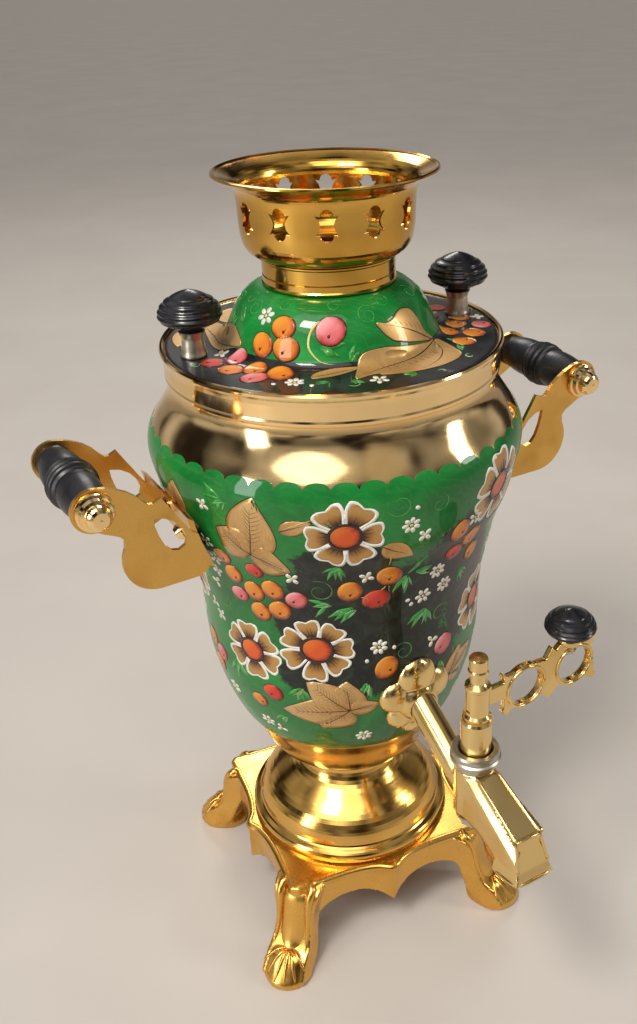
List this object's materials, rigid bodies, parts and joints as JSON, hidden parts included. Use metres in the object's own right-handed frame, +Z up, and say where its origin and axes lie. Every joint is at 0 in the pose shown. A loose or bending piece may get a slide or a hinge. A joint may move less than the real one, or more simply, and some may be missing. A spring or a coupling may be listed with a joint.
{
  "type": "electric samovar",
  "caption": "Small electric samovar: vase-shaped painted boiler with lift-off lid and crown, turning tap, two side handles and a cast base with feet.",
  "frame": {"origin": "body axis at the level of the soles of the feet", "axes": "+Z up along the body axis, -Y towards the tap, +X towards the right-hand handle"},
  "size_m": [0.2272, 0.2126, 0.3284],
  "materials": {
    "polished_brass": "polished",
    "crown_brass": "polished, darker golden",
    "painted_body": "glossy lacquer over painted flowers and berries on green and black",
    "painted_lid": "glossy lacquer, green dome and black flange with painted berries",
    "black_knob": "glossy, ridged",
    "black_grip": "satin",
    "nickel": "nickel plated",
    "steel": "satin",
    "rubber_seal": "matt",
    "insulator": "matt glaze"
  },
  "bodies": {
    "samovar": {"plinth": "polished_brass", "pedestal": "polished_brass", "waist_collar": "polished_brass", "body_bottom": "polished_brass", "tie_bolt": "steel", "tie_gasket": "rubber_seal", "tie_washer": "steel", "tie_nut": "steel", "body_shell": "painted_body", "neck_ring": "polished_brass", "tap_rosette": "polished_brass", "tap_body": "polished_brass", "tap_gasket": "rubber_seal", "tap_lock_nut": "polished_brass", "tap_collar": "nickel", "handle_bracket_right": "polished_brass", "handle_bracket_left": "polished_brass", "handle_grip_right": "black_grip", "handle_grip_left": "black_grip", "handle_rod_right": "steel", "handle_rod_left": "steel", "handle_cap_nuts_right": "polished_brass", "handle_cap_nuts_left": "polished_brass", "handle_screws": "polished_brass", "handle_nuts": "polished_brass", "heating_element": "steel", "heater_gaskets": "rubber_seal", "heater_nuts": "nickel", "inlet_shroud": "polished_brass", "inlet_pins": "nickel", "pin_insulators": "insulator"},
    "lid": {"lid_shell": "painted_lid", "lid_skirt": "polished_brass", "lid_knob_stems": "nickel", "lid_knobs": "black_knob", "lid_knob_screws": "steel"},
    "crown": {"crown_collar": "crown_brass", "crown_bowl": "crown_brass"},
    "tap_key": {"tap_plug": "polished_brass", "plug_washer": "nickel", "plug_nut": "nickel", "tap_lever": "polished_brass", "tap_knob": "black_knob", "tap_knob_screw": "steel"}
  },
  "joints": [
    {"name": "tap_turn", "type": "hinge", "parent": "samovar", "child": "tap_key", "pos_m": [0, -0.096, 0.118], "axis": [0, 0, 1], "range_deg": [-225, 45]},
    {"name": "lid_lift", "type": "slide", "parent": "samovar", "child": "lid", "axis": [0, 0, 1], "range_m": [0, 0.1]},
    {"name": "crown_lift", "type": "slide", "parent": "lid", "child": "crown", "axis": [0, 0, 1], "range_m": [0, 0.06]}
  ]
}
